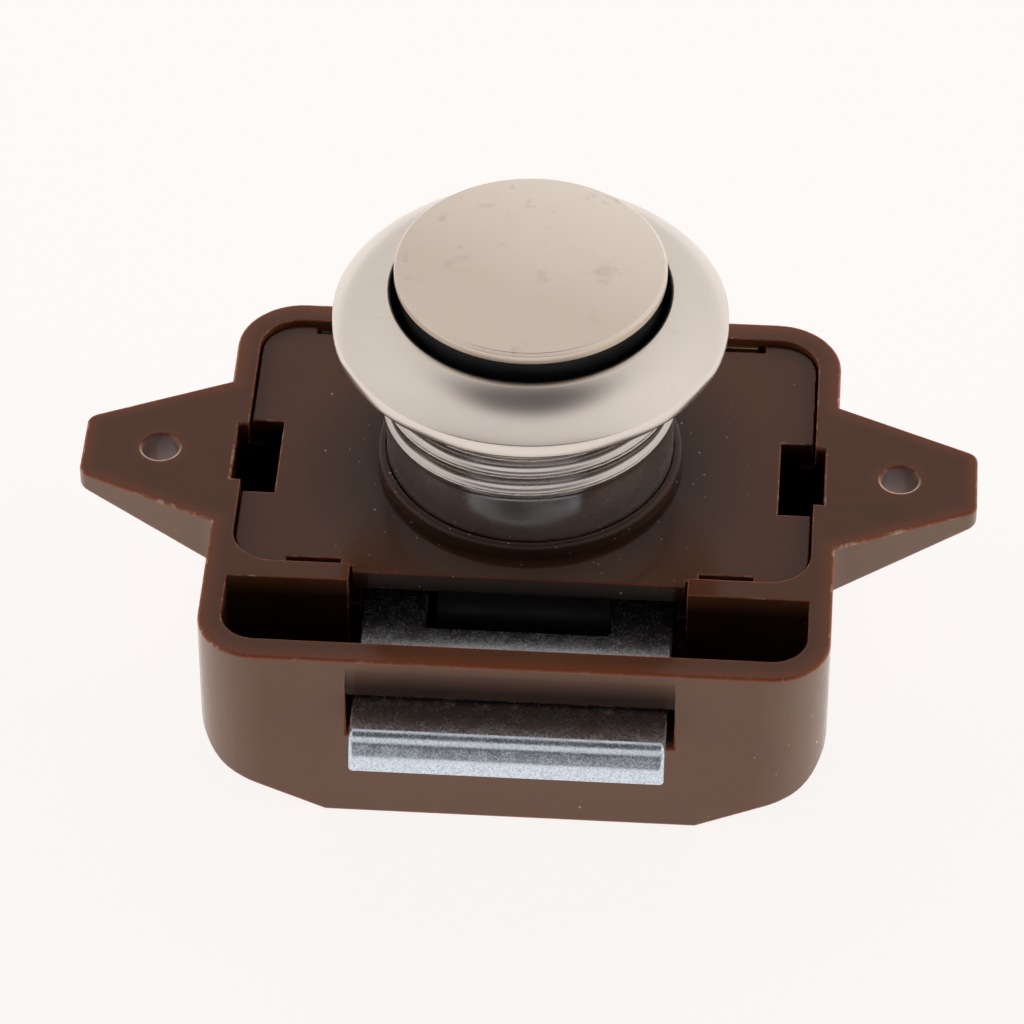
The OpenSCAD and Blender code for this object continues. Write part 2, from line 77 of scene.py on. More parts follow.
def makeCamera(s):
    a, e = math.radians(s["azimuth"]), math.radians(s["elevation"])
    back = Vector((math.sin(a) * math.cos(e), -math.cos(a) * math.cos(e), math.sin(e)))
    right = Vector((math.cos(a), math.sin(a), 0.0))
    up = back.cross(right)
    perPx = s["distance"] / s["focalPx"]
    half = s["framePx"] / 2
    aside = right * (s["originPx"][0] - half) - up * (s["originPx"][1] - half)
    data = bpy.data.cameras.new("photoCamera")
    data.sensor_width = s["sensor"]
    data.lens = s["focalPx"] / s["framePx"] * s["sensor"]
    data.clip_start, data.clip_end = s["clip"]
    cam = bpy.data.objects.new("photoCamera", data)
    cam.location = back * s["distance"] - aside * perPx
    cam.rotation_mode = "QUATERNION"
    cam.rotation_quaternion = (-back).to_track_quat("-Z", "Y")
    scene.collection.objects.link(cam)
    scene.camera = cam


makeCamera(shot)
print("camera set")


# node helpers
def newMaterial(name):
    mat = bpy.data.materials.new(name)
    mat.use_nodes = True
    tree = mat.node_tree
    return mat, tree, tree.nodes["Principled BSDF"]


def addNode(tree, kind, **values):
    node = tree.nodes.new(kind)
    for key, value in values.items():
        if hasattr(node, key):
            setattr(node, key, value)
        else:
            node.inputs[key].default_value = value
    return node


def feed(tree, socket, value):
    if isinstance(value, bpy.types.NodeSocket):
        tree.links.new(value, socket)
    elif isinstance(value, tuple) and socket.type == "RGBA":
        socket.default_value = (*value, 1.0)
    else:
        socket.default_value = value


def objectPoint(tree):
    return addNode(tree, "ShaderNodeTexCoord").outputs["Object"]


def parts(tree, vector):
    node = addNode(tree, "ShaderNodeSeparateXYZ")
    feed(tree, node.inputs[0], vector)
    return node.outputs


def noise(tree, point, scale, detail=3.0, roughness=0.5):
    node = addNode(tree, "ShaderNodeTexNoise", Scale=scale, Detail=detail, Roughness=roughness)
    feed(tree, node.inputs["Vector"], point)
    return node.outputs["Fac"]


def remap(tree, value, low, high, toLow, toHigh, curve="LINEAR"):
    node = addNode(tree, "ShaderNodeMapRange", interpolation_type=curve)
    keys = ("Value", "From Min", "From Max", "To Min", "To Max")
    for key, number in zip(keys, (value, low, high, toLow, toHigh)):
        feed(tree, node.inputs[key], number)
    return node.outputs["Result"]


def mixColour(tree, factor, first, second):
    node = addNode(tree, "ShaderNodeMix", data_type="RGBA")
    for index, value in zip((0, 6, 7), (factor, first, second)):  # sockets of the colour mode
        feed(tree, node.inputs[index], value)
    return node.outputs[2]


def pairNode(tree, kind, operation, first, second):
    node = addNode(tree, kind, operation=operation)
    feed(tree, node.inputs[0], first)
    feed(tree, node.inputs[1], second)
    return node.outputs


def maths(tree, operation, first, second):
    return pairNode(tree, "ShaderNodeMath", operation, first, second)[0]


def vectorValue(tree, operation, first, second):
    return pairNode(tree, "ShaderNodeVectorMath", operation, first, second)["Value"]


def vectorStep(tree, operation, first, second=(0.0, 0.0, 0.0)):
    return pairNode(tree, "ShaderNodeVectorMath", operation, first, second)["Vector"]


def bump(tree, shader, height, strength, distance):
    node = addNode(tree, "ShaderNodeBump", Strength=strength, Distance=distance)
    feed(tree, node.inputs["Height"], height)
    feed(tree, shader.inputs["Normal"], node.outputs["Normal"])


# sparse dots: each cell's own random value picks which cells carry a dot of the given radius,
# solid out to its core
def specks(tree, point, scale, share, radius, core=0.6):
    cell = addNode(tree, "ShaderNodeTexVoronoi", Scale=scale)
    feed(tree, cell.inputs["Vector"], point)
    pick = addNode(tree, "ShaderNodeSeparateColor")
    feed(tree, pick.inputs[0], cell.outputs["Color"])
    chosen = maths(tree, "LESS_THAN", pick.outputs[0], share)
    near = remap(tree, cell.outputs["Distance"], radius * scale * core, radius * scale, 1.0, 0.0)
    return maths(tree, "MULTIPLY", chosen, near)


# brown moulded plastic: glossy, a little translucent so thin edges glow, glow also painted; dust lies round
# the collar
brown = dict(
    # tones: body's and cover's own, painted glow for edges, flash, dust, painted sheen, painted shade,
    # painted bore reflection
    body=(0.148, 0.058, 0.0265), cover=(0.122, 0.0525, 0.027), edge=(0.30, 0.088, 0.036),
    flash=(0.80, 0.62, 0.47), dust=(0.62, 0.55, 0.48), sheenTone=(0.25, 0.176, 0.136),
    shadeTone=(0.012, 0.006, 0.003), bore=(0.30, 0.255, 0.25),
    # gloss and glow
    rough=(0.10, 0.16), smearScale=320.0, smearRange=(0.35, 0.7), ior=1.5, gloss=0.26, darkGloss=0.15,
    glow=0.55, depth=0.9 * mm, spread=(1.0, 0.28, 0.12), grain=0.004 * mm, grainScale=2600.0,
    grainStrength=0.05,
    # outline of case and ears
    corner=(20.9 * mm, 16.9 * mm, 1.0), round=4.9 * mm, earRoot=20.16 * mm, earSlope=0.444, earLean=0.914,
    earTip=37.5 * mm, hole=(31.0 * mm, 0.0, 0.0), holeRadius=1.55 * mm,
    # faces that count as upright or level, by the height of their normal
    uprightFrom=(0.5, 0.2), levelFrom=(0.6, 0.9),
    # mottle, painted sheen, and painted glow along the rim
    mottle=0.93, cloudScale=140.0, cloudRange=(0.35, 0.65), sheenShare=0.30, sheenSide=0.82, earSheen=0.72,
    sheenSpan=(20.0 * mm, 25.0 * mm), earSpan=(25.9 * mm, 27.0 * mm), skin=(-0.25 * mm, -0.1 * mm),
    rim=(1.0, 0.18), rimDepth=1.5 * mm,
    # painted shade in the insides and in the recess over the bolt slot
    insideShade=0.85, wallFade=(-0.3 * mm, -2.0 * mm), floorFade=(-0.7 * mm, -2.2 * mm),
    innerFade=(-0.5 * mm, -1.2 * mm), recess=13.45 * mm, setBackFade=(-0.02 * mm, -0.08 * mm),
    shade=0.82, shadeFade=(0.2 * mm, -3.2 * mm),
    # painted glow, reflection and glint at the ear holes, and flash
    holeGlow=0.55, holeGlowWidth=1.1 * mm, boreStart=0.02 * mm, boreReflectionShare=0.7,
    holeGlint=(0.10 * mm, 0.18 * mm, 0.30 * mm), holeGlintFront=(0.6 * mm, -0.9 * mm), wear=0.45, innerWear=0.25,
    wearSpan=(16.0 * mm, 22.0 * mm), wearScale=700.0, wearRange=(0.53, 0.63),
    # shade and dust round the collar
    shadow=0.70, shadowFar=20.0 * mm, shadeAndDustNear=13.0 * mm, dustFar=21.0 * mm, dustShare=(0.9, 0.06),
    dustStrength=0.75, coarseScale=520.0, coarseRadius=0.13 * mm, fineScale=1100.0, fineRadius=0.075 * mm)


# how far a point lies outside the case's rounded outline: the length of what passes the centres of its
# corners, less their radius
def pastOutline(tree, point, s):
    middle = (0.0, (caseLow.y + caseHigh.y) / 2, 0.0)
    folded = vectorStep(tree, "ABSOLUTE", vectorStep(tree, "SUBTRACT", point, middle))
    passed = vectorStep(tree, "MAXIMUM", vectorStep(tree, "SUBTRACT", folded, s["corner"]), (0.0, 0.0, 0.0))
    return maths(tree, "SUBTRACT", vectorValue(tree, "LENGTH", passed, (0.0, 0.0, 0.0)), s["round"])


# depth inside the outline of case and ears together; an ear narrows evenly towards its tip, and its lean
# turns a width across the ear into a depth from its slanted edge
def insideOutline(tree, side, past, s):
    half = maths(tree, "SUBTRACT", s["earRoot"], maths(tree, "MULTIPLY", side["X"], s["earSlope"]))
    flank = maths(tree, "MULTIPLY", maths(tree, "SUBTRACT", half, side["Y"]), s["earLean"])
    ear = maths(tree, "MINIMUM", flank, maths(tree, "SUBTRACT", s["earTip"], side["X"]))
    return maths(tree, "MAXIMUM", maths(tree, "MULTIPLY", past, -1.0), ear)


def brownPlastic(name, base, wear, s):
    mat, tree, shader = newMaterial(name)
    point = objectPoint(tree)
    place = parts(tree, point)
    across = vectorStep(tree, "ABSOLUTE", point)
    side = parts(tree, across)
    past = pastOutline(tree, point, s)
    facing = parts(tree, addNode(tree, "ShaderNodeNewGeometry").outputs["Normal"])
    upright = remap(tree, facing["Z"], *s["uprightFrom"], 0.0, 1.0)
    level = remap(tree, facing["Z"], *s["levelFrom"], 0.0, 1.0)

    # body with a faint mottle, a painted pale sheen on the outside walls, a painted red glow along the
    # outline
    second = tuple(c * s["mottle"] for c in base)
    cloud = noise(tree, point, s["cloudScale"], 4.0)
    colour = mixColour(tree, remap(tree, cloud, *s["cloudRange"], 0.0, 1.0), base, second)
    # painted sheen: upright outside walls lighten, more towards the corners, a little less on the ears
    sheenShare = remap(tree, side["X"], *s["sheenSpan"], s["sheenShare"], s["sheenSide"])
    sheenShare = maths(tree, "MULTIPLY", sheenShare, remap(tree, side["X"], *s["earSpan"], 1.0, s["earSheen"]))
    outside = remap(tree, past, *s["skin"], 0.0, sheenShare)
    colour = mixColour(tree, maths(tree, "MULTIPLY", outside, upright), colour, s["sheenTone"])
    # painted glow: level faces near the outline turn to the orange edge tone
    rim = remap(tree, insideOutline(tree, side, past, s), 0.0, s["rimDepth"], *s["rim"])
    colour = mixColour(tree, maths(tree, "MULTIPLY", rim, level), colour, s["edge"])

    # painted shade: darker insides, and the shaded recess over the bolt slot
    wall = maths(tree, "MULTIPLY", remap(tree, place["Z"], *s["wallFade"], 0.0, s["insideShade"]),
                 maths(tree, "SUBTRACT", 1.0, level))
    below = maths(tree, "MAXIMUM", wall, remap(tree, place["Z"], *s["floorFade"], 0.0, s["insideShade"]))
    dark = maths(tree, "MULTIPLY", below, remap(tree, past, *s["innerFade"], 0.0, 1.0))
    setBack = maths(tree, "MULTIPLY", remap(tree, past, *s["setBackFade"], 0.0, 1.0),
                    maths(tree, "LESS_THAN", side["X"], s["recess"]))
    shade = maths(tree, "MULTIPLY", upright, remap(tree, place["Z"], *s["shadeFade"], 0.0, s["shade"]))
    dark = maths(tree, "MAXIMUM", dark, maths(tree, "MULTIPLY", setBack, shade))
    colour = mixColour(tree, dark, colour, s["shadeTone"])

    # ear holes: painted glow round them, a painted reflection greying the bore and a painted glint at the
    # rim's front
    flat = vectorStep(tree, "MULTIPLY", across, (1.0, 1.0, 0.0))
    toHole = vectorValue(tree, "DISTANCE", flat, s["hole"])
    r = s["holeRadius"]
    full, fade, end = s["holeGlint"]
    glow = remap(tree, toHole, r, r + s["holeGlowWidth"], s["holeGlow"], 0.0)
    colour = mixColour(tree, glow, colour, s["edge"])
    boreReflection = remap(tree, toHole, r + s["boreStart"], r, 0.0, s["boreReflectionShare"])
    colour = mixColour(tree, boreReflection, colour, s["bore"])
    holeGlint = maths(tree, "MULTIPLY", remap(tree, toHole, r, r + full, 0.0, 1.0),
                 remap(tree, toHole, r + fade, r + end, 1.0, 0.0))
    holeGlint = maths(tree, "MULTIPLY", holeGlint, remap(tree, place["Y"], *s["holeGlintFront"], 0.0, 1.0))

    # pale flash along worn edges, most on the ears; the painted glint at the holes takes the same tone
    most = remap(tree, side["X"], *s["wearSpan"], wear * s["innerWear"], wear)
    worn = remap(tree, noise(tree, point, s["wearScale"], 5.0, 0.7), *s["wearRange"], 0.0, most)
    colour = mixColour(tree, maths(tree, "MAXIMUM", holeGlint, worn), colour, s["flash"])

    # shade under the button, kept off the outside walls, and dust, thickest round the collar
    away = vectorValue(tree, "DISTANCE", point, (knobX, knobY, 0.0))
    under = remap(tree, away, s["shadeAndDustNear"], s["shadowFar"], s["shadow"], 0.0)
    within = remap(tree, past, *s["skin"], 1.0, 0.0)
    colour = mixColour(tree, maths(tree, "MULTIPLY", under, within), colour, s["shadeTone"])
    share = remap(tree, away, s["shadeAndDustNear"], s["dustFar"], *s["dustShare"])
    dust = maths(tree, "MAXIMUM", specks(tree, point, s["coarseScale"], share, s["coarseRadius"]),
                 specks(tree, point, s["fineScale"], share, s["fineRadius"]))
    colour = mixColour(tree, maths(tree, "MULTIPLY", dust, s["dustStrength"]), colour, s["dust"])

    feed(tree, shader.inputs["Base Color"], colour)
    smear = noise(tree, point, s["smearScale"], 5.0, 0.6)
    feed(tree, shader.inputs["Roughness"], remap(tree, smear, *s["smearRange"], *s["rough"]))
    bump(tree, shader, noise(tree, point, s["grainScale"], 2.0), s["grainStrength"], s["grain"])
    shader.inputs["IOR"].default_value = s["ior"]
    # painted shade also dulls the gloss
    gloss = remap(tree, dark, 0.0, 1.0, s["gloss"], s["gloss"] * s["darkGloss"])
    feed(tree, shader.inputs["Specular IOR Level"], gloss)
    shader.inputs["Subsurface Weight"].default_value = s["glow"]
    shader.inputs["Subsurface Radius"].default_value = s["spread"]
    shader.inputs["Subsurface Scale"].default_value = s["depth"]
    return mat


plasticFace = brownPlastic("brownPlastic", brown["body"], 0.0, brown)
plasticCover = brownPlastic("brownPlasticCover", brown["cover"], 0.0, brown)
# the edge material's orange base is a painted glow on every bevel face
plasticEdgeGlow = brownPlastic("brownPlasticEdgeGlow", brown["edge"], brown["wear"], brown)

# nickel: the dome and cap are satin, with faint smudges that change their gloss and tone, and a painted
# highlight lightens the cap towards the back and right; the sleeve is brighter, and a little duller on its
# thread
nickel = dict(
    cap=(0.685, 0.59, 0.505), capLit=(0.87, 0.78, 0.69), ring=(0.76, 0.69, 0.625), worn=(0.52, 0.44, 0.37),
    sleeve=(0.66, 0.64, 0.62), thread=(0.60, 0.56, 0.525), rough=(0.24, 0.28), mirror=(0.22, 0.30),
    litToward=(0.45, 0.9, 0.0), litSpan=(-2.0 * mm, 12.0 * mm), threadFrom=(4.9 * mm, 5.2 * mm),
    cloudScale=170.0, cloudRange=(0.3, 0.7), spotScale=420.0, spotRange=(0.60, 0.74), ringSmudge=0.10,
    capSmudge=0.40, speckScale=700.0, speckShare=0.03, speckRadius=0.10 * mm, wipeScale=260.0,
    wipeTone=(0.3, 0.7), wipeShare=0.25, wipeGloss=(0.35, 0.65))


def satinNickel(name, s, tone, pale, smudge):
    mat, tree, shader = newMaterial(name)
    point = objectPoint(tree)
    # painted highlight: the tone turns to the lighter one along a fixed direction
    aslant = vectorValue(tree, "DOT_PRODUCT", point, s["litToward"])
    tone = mixColour(tree, remap(tree, aslant, *s["litSpan"], 0.0, 1.0), tone, pale)
    shader.inputs["Metallic"].default_value = 1.0
    cloud = noise(tree, point, s["cloudScale"], 2.0)
    spots = remap(tree, noise(tree, point, s["spotScale"], 4.0, 0.65), *s["spotRange"], 0.0, smudge)
    specky = specks(tree, point, s["speckScale"], s["speckShare"], s["speckRadius"])
    stained = maths(tree, "MAXIMUM", spots, maths(tree, "MULTIPLY", specky, smudge))
    feed(tree, shader.inputs["Base Color"], mixColour(tree, stained, tone, s["worn"]))
    feed(tree, shader.inputs["Roughness"], remap(tree, cloud, *s["cloudRange"], *s["rough"]))
    return mat


def brightNickel(name, s):
    mat, tree, shader = newMaterial(name)
    point = objectPoint(tree)
    shader.inputs["Metallic"].default_value = 1.0
    wipe = noise(tree, point, s["wipeScale"], 4.0)
    threaded = remap(tree, parts(tree, point)["Z"], *s["threadFrom"], 0.0, 1.0)
    tone = mixColour(tree, threaded, s["sleeve"], s["thread"])
    toned = mixColour(tree, remap(tree, wipe, *s["wipeTone"], 0.0, s["wipeShare"]), tone, s["worn"])
    feed(tree, shader.inputs["Base Color"], toned)
    feed(tree, shader.inputs["Roughness"], remap(tree, wipe, *s["wipeGloss"], *s["mirror"]))
    return mat


nickelDome = satinNickel("satinNickelRing", nickel, nickel["ring"], nickel["ring"], nickel["ringSmudge"])
nickelCap = satinNickel("satinNickelCap", nickel, nickel["cap"], nickel["capLit"], nickel["capSmudge"])
nickelBright = brightNickel("polishedNickelSleeve", nickel)

# zinc-plated sheet: mirror-like under a fine salt-and-pepper grain of raised crystals
zinc = dict(light=(0.78, 0.85, 0.93), dark=(0.50, 0.56, 0.63), spark=(0.92, 0.95, 0.98), metal=0.97,
            rough=(0.15, 0.30), roughRange=(0.38, 0.62), fineScale=5200.0, fineRange=(0.38, 0.60),
            broadScale=700.0, fineShare=0.6, broadShare=0.4, sparkScale=3000.0, sparkShare=0.13,
            sparkRadius=0.06 * mm, sparkHeight=0.8, grain=0.010 * mm, grainStrength=0.28)


def zincPlate(name, s):
    mat, tree, shader = newMaterial(name)
    point = objectPoint(tree)
    shader.inputs["Metallic"].default_value = s["metal"]
    fine = noise(tree, point, s["fineScale"], 3.0, 0.7)
    broad = noise(tree, point, s["broadScale"], 3.0)
    tone = mixColour(tree, remap(tree, fine, *s["fineRange"], 0.0, 1.0), s["dark"], s["light"])
    sparks = specks(tree, point, s["sparkScale"], s["sparkShare"], s["sparkRadius"])
    feed(tree, shader.inputs["Base Color"], mixColour(tree, sparks, tone, s["spark"]))
    patchy = maths(tree, "ADD", maths(tree, "MULTIPLY", fine, s["fineShare"]),
                   maths(tree, "MULTIPLY", broad, s["broadShare"]))
    feed(tree, shader.inputs["Roughness"], remap(tree, patchy, *s["roughRange"], *s["rough"]))
    height = maths(tree, "ADD", fine, maths(tree, "MULTIPLY", sparks, s["sparkHeight"]))
    bump(tree, shader, height, s["grainStrength"], s["grain"])
    return mat


zincFace = zincPlate("zincPlate", zinc)

# plain shop finishes for the pieces inside: two tones, gloss and a fine grain
shop = dict(toneRange=(0.35, 0.65), roughRange=(0.3, 0.7), roughLow=0.8, roughHigh=1.25, grainFiner=8,
            grainStrength=0.08, grain=0.005 * mm)
black = dict(base=(0.010, 0.010, 0.011), second=(0.016, 0.015, 0.015), metallic=0.0, rough=0.4, scale=300.0,
             gloss=0.2)
steel = dict(base=(0.46, 0.46, 0.46), second=(0.34, 0.34, 0.35), metallic=1.0, rough=0.28, scale=500.0,
             gloss=0.5)
brass = dict(base=(0.78, 0.56, 0.24), second=(0.66, 0.45, 0.18), metallic=1.0, rough=0.25, scale=400.0,
             gloss=0.5)
screw = dict(base=(0.56, 0.57, 0.60), second=(0.45, 0.46, 0.48), metallic=1.0, rough=0.30, scale=500.0,
             gloss=0.5)


def shopFinish(name, tone, s):
    mat, tree, shader = newMaterial(name)
    point = objectPoint(tree)
    shader.inputs["Specular IOR Level"].default_value = tone["gloss"]
    shader.inputs["Metallic"].default_value = tone["metallic"]
    cloud = noise(tree, point, tone["scale"], 4.0)
    toned = mixColour(tree, remap(tree, cloud, *s["toneRange"], 0.0, 1.0), tone["base"], tone["second"])
    feed(tree, shader.inputs["Base Color"], toned)
    smooth, dull = tone["rough"] * s["roughLow"], tone["rough"] * s["roughHigh"]
    feed(tree, shader.inputs["Roughness"], remap(tree, cloud, *s["roughRange"], smooth, dull))
    grain = noise(tree, point, tone["scale"] * s["grainFiner"], 2.0)
    bump(tree, shader, grain, s["grainStrength"], s["grain"])
    return mat


blackPlastic = shopFinish("blackPlastic", black, shop)
springWire = shopFinish("springWire", steel, shop)
brassStrip = shopFinish("brassStrip", brass, shop)
screwZinc = shopFinish("screwZinc", screw, shop)
print("materials made")


# mesh helpers
def linkPiece(name, mesh, materials, body, slot, *replaced):
    piece = bpy.data.objects.new(name, mesh)
    for mat in materials:
        mesh.materials.append(mat)
    scene.collection.objects.link(piece)
    if body:
        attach(piece, body)
    if replaced:
        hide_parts(*replaced)
    return piece


def meshFrom(name, points, faces):
    mesh = bpy.data.meshes.new(name)
    mesh.from_pydata(points.reshape(-1, 3).tolist(), [], faces)
    mesh.polygons.foreach_set("use_smooth", np.ones(len(mesh.polygons), bool))
    mesh.update()
    return mesh


# quads of a grid of rows by columns; a wrapped direction joins its last line to its first
def gridFaces(rows, cols, wrapRows, wrapCols):
    i = np.arange(rows if wrapRows else rows - 1)[:, None]
    j = np.arange(cols if wrapCols else cols - 1)[None, :]
    i2, j2 = (i + 1) % rows, (j + 1) % cols
    quads = [i * cols + j, i * cols + j2, i2 * cols + j2, i2 * cols + j]
    return np.stack(np.broadcast_arrays(*quads), -1).reshape(-1, 4)


# a path of straight runs whose corners are arcs: each corner is cut back to its tangent points,
# and the points between them lie on the circle that touches both runs
def roundedPath(corners, radii, steps):
    p = np.array(corners, float)
    path = []
    for here, before, after, r in zip(p, np.roll(p, 1, 0), np.roll(p, -1, 0), radii):
        if r == 0:
            path.append(here[None])
            continue
        u = (before - here) / np.linalg.norm(before - here)
        v = (after - here) / np.linalg.norm(after - here)
        half = math.acos(np.clip(u @ v, -1, 1)) / 2
        centre = here + (u + v) / np.linalg.norm(u + v) * r / math.sin(half)
        a = here + u * r / math.tan(half) - centre
        b = here + v * r / math.tan(half) - centre
        sweep = math.pi - 2 * half
        t = np.linspace(0, sweep, steps)[:, None]
        side = (b - a * math.cos(sweep)) / math.sin(sweep)
        path.append(centre + a * np.cos(t) + side * np.sin(t))
    return np.concatenate(path)


# edges: welding distance, angles in degrees, the room that a bevel needs in widths, and a width a piece
edges = dict(weld=1e-6, flat=0.4, sharp=32.0, room=2.5, shortest=1e-9, segments=3, housing=0.22 * mm,
             cover=0.12 * mm, bolt=0.35 * mm, stem=0.15 * mm, plunger=0.10 * mm, screw=0.05 * mm,
             wire=0.04 * mm, strip=0.04 * mm, frontFace=0.01 * mm, recessTop=(-0.1 * mm, -0.01 * mm),
             recessLowered=-0.5 * mm, earReach=13.2 * mm, wall=1.8 * mm, insideShare=0.4, windowShare=0.25)


# edges to soften: those that turn outward by more than the sharp angle and have room on both faces,
# a face's room being its area over the edge's length
def markEdges(mesh, width, s, ease):
    def read(items, key, size, kind):
        values = np.zeros(len(items) * size, kind)
        items.foreach_get(key, values)
        return values.reshape(-1, size) if size > 1 else values

    spots = read(mesh.vertices, "co", 3, np.float64)
    ends = read(mesh.edges, "vertices", 2, np.int32)
    owner = np.repeat(np.arange(len(mesh.polygons)), read(mesh.polygons, "loop_total", 1, np.int32))
    order = np.argsort(read(mesh.loops, "edge_index", 1, np.int32), kind="stable")
    first, second = owner[order[0::2]], owner[order[1::2]]
    normals = read(mesh.polygons, "normal", 3, np.float64)
    areas = read(mesh.polygons, "area", 1, np.float64)
    starts = read(mesh.loops, "vertex_index", 1, np.int32)[order[0::2]]
    along = spots[ends[:, 1]] - spots[ends[:, 0]]
    length = np.linalg.norm(along, axis=1)
    along = np.where((starts == ends[:, 0])[:, None], along, -along)
    intoSecond = np.cross(normals[second], -along)
    outward = (normals[first] * intoSecond).sum(1) < 0
    turn = np.arccos(np.clip((normals[first] * normals[second]).sum(1), -1, 1))
    room = np.minimum(areas[first], areas[second]) / np.maximum(length, s["shortest"])
    chosen = outward & (turn > math.radians(s["sharp"])) & (room > s["room"] * width)
    weights = mesh.attributes.new("bevel_weight_edge", "FLOAT", "EDGE")
    share = chosen * (ease((spots[ends[:, 0]] + spots[ends[:, 1]]) / 2) if ease else 1.0)
    weights.data.foreach_set("value", share.astype(np.float32))


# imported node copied, welded and given softened edges; the new edge faces take the last material
def softened(node, name, body, slot, materials, width, s, shape=None, ease=None):
    mesh = nodes[node].data.copy()
    mesh.name = name
    mesh.materials.clear()
    work = bmesh.new()
    work.from_mesh(mesh)
    bmesh.ops.remove_doubles(work, verts=work.verts, dist=s["weld"])
    bmesh.ops.dissolve_limit(work, angle_limit=math.radians(s["flat"]), verts=work.verts, edges=work.edges)
    work.to_mesh(mesh)
    work.free()
    if shape is not None:
        spots = np.zeros(len(mesh.vertices) * 3)
        mesh.vertices.foreach_get("co", spots)
        mesh.vertices.foreach_set("co", shape(spots.reshape(-1, 3)).ravel())
        mesh.update()
    mesh.polygons.foreach_set("use_smooth", np.ones(len(mesh.polygons), bool))
    mesh.set_sharp_from_angle(angle=math.radians(s["sharp"]))
    markEdges(mesh, width, s, ease)
    piece = linkPiece(name, mesh, materials, body, slot, node)
    edge = piece.modifiers.new("softEdge", "BEVEL")
    edge.width = width
    edge.segments = s["segments"]
    edge.limit_method = "WEIGHT"
    edge.use_clamp_overlap = False
    edge.material = len(materials) - 1
    flat = piece.modifiers.new("flatFaces", "WEIGHTED_NORMAL")
    flat.mode = "FACE_AREA"
    flat.keep_sharp = True
    return piece


# the front recess starts a little below the rim, which leaves room for the rim's rounded edge
def lowerRecess(spots, s=edges):
    x, y, z = spots.T
    low, high = s["recessTop"]
    start = (y < caseLow.y + s["frontFace"]) & (z > low) & (z < high)
    return np.stack([x, y, np.where(start, s["recessLowered"], z)], -1)


# edges inside the case keep a smaller radius than those of its outline
def easeInside(spots, s=edges):
    x, y = np.abs(spots[:, 0]), spots[:, 1]
    within = (x < caseHigh.x - s["earReach"]) & (y > caseLow.y + s["wall"]) & (y < caseHigh.y - s["wall"])
    return np.where(within, s["insideShare"], 1.0)


# so do the edges of the bolt behind the case's front, round its window
def easeWindow(spots, s=edges):
    return np.where(spots[:, 1] > caseLow.y, s["windowShare"], 1.0)


# moulded shells: every edge has a small radius
softened("housing", "housingShell", "case", "brown_plastic", [plasticFace, plasticEdgeGlow], edges["housing"],
         edges, lowerRecess, easeInside)
softened("cover_plate", "coverShell", "case", "brown_plastic", [plasticCover, plasticEdgeGlow], edges["cover"],
         edges)
print("moulded shells done")

# bolt: sheared and folded sheet, edges slightly broken
softened("latch_bolt", "boltPlate", "bolt", "zinc_steel", [zincFace], edges["bolt"], edges, None,
         easeWindow)
print("bolt done")

# pieces inside
softened("knob_stem", "stemBarrel", "knob", "black_plastic", [blackPlastic], edges["stem"], edges)
softened("plunger", "plungerBlock", "knob", "black_plastic", [blackPlastic], edges["plunger"], edges)
softened("knob_screw", "stemScrew", "knob", "zinc_steel", [screwZinc], edges["screw"], edges)
softened("cam_follower", "followerWire", "follower", "spring_steel", [springWire], edges["wire"], edges)
softened("follower_leaf_spring", "followerStrip", "case", "leaf_brass", [brassStrip], edges["strip"], edges)
print("inner pieces done")


# turned pieces: a profile of radius and height goes round the knob's axis; a closed profile wraps,
# an open one starts and ends on the axis
def turned(name, profile, sides, materials, body, slot, node, shape=None):
    turn = np.linspace(0, 2 * math.pi, sides, endpoint=False)
    radius, height = [np.repeat(c[:, None], sides, 1) for c in profile.T]
    if shape is not None:
        radius = shape(radius, height, turn[None, :])
    points = np.stack([knobX + radius * np.cos(turn), knobY + radius * np.sin(turn), height], -1)
    if profile[0, 0] > 0:
        faces = gridFaces(len(profile), sides, True, True)[:, ::-1].tolist()
        return linkPiece(name, meshFrom(name, points, faces), materials, body, slot, node)
    inner = points[1:-1]
    faces = gridFaces(len(inner), sides, False, True)[:, ::-1].tolist()
    top, bottom = len(inner) * sides, len(inner) * sides + 1
    j = np.arange(sides)
    after = (j + 1) % sides
    last = (len(inner) - 1) * sides
    faces += np.stack([np.full(sides, top), j, after], -1).tolist()
    faces += np.stack([np.full(sides, bottom), last + after, last + j], -1).tolist()
    flat = np.concatenate([inner.reshape(-1, 3), points[:1, 0], points[-1:, 0]])
    return linkPiece(name, meshFrom(name, flat, faces), materials, body, slot, node)


# rosette: smooth pilot, helical thread, flange band, dome and rolled lip; lengths in millimetres
ring = dict(bore=11.5, pilot=12.0, crest=0.27, pitch=1.9, threadLow=5.05, crestFlat=0.10, taper=0.045,
            root=11.83, fade=0.10, startTurn=0.25, panel=13.87, flange=16.3, band=1.35, lip=18.04,
            lipRadius=12.1, dome=7.3, domeSteps=40, bead=0.3, beadFrom=75.0, beadTo=185.0, beadSteps=9,
            cornerRadii=[0.05, 0.12, 0.25, 0.28, 0.0], cornerSteps=6, sleeveGap=0.3, boreStart=2.2,
            boreDrop=5.0, same=1e-6, finishGap=0.02, sides=256, rows=300)


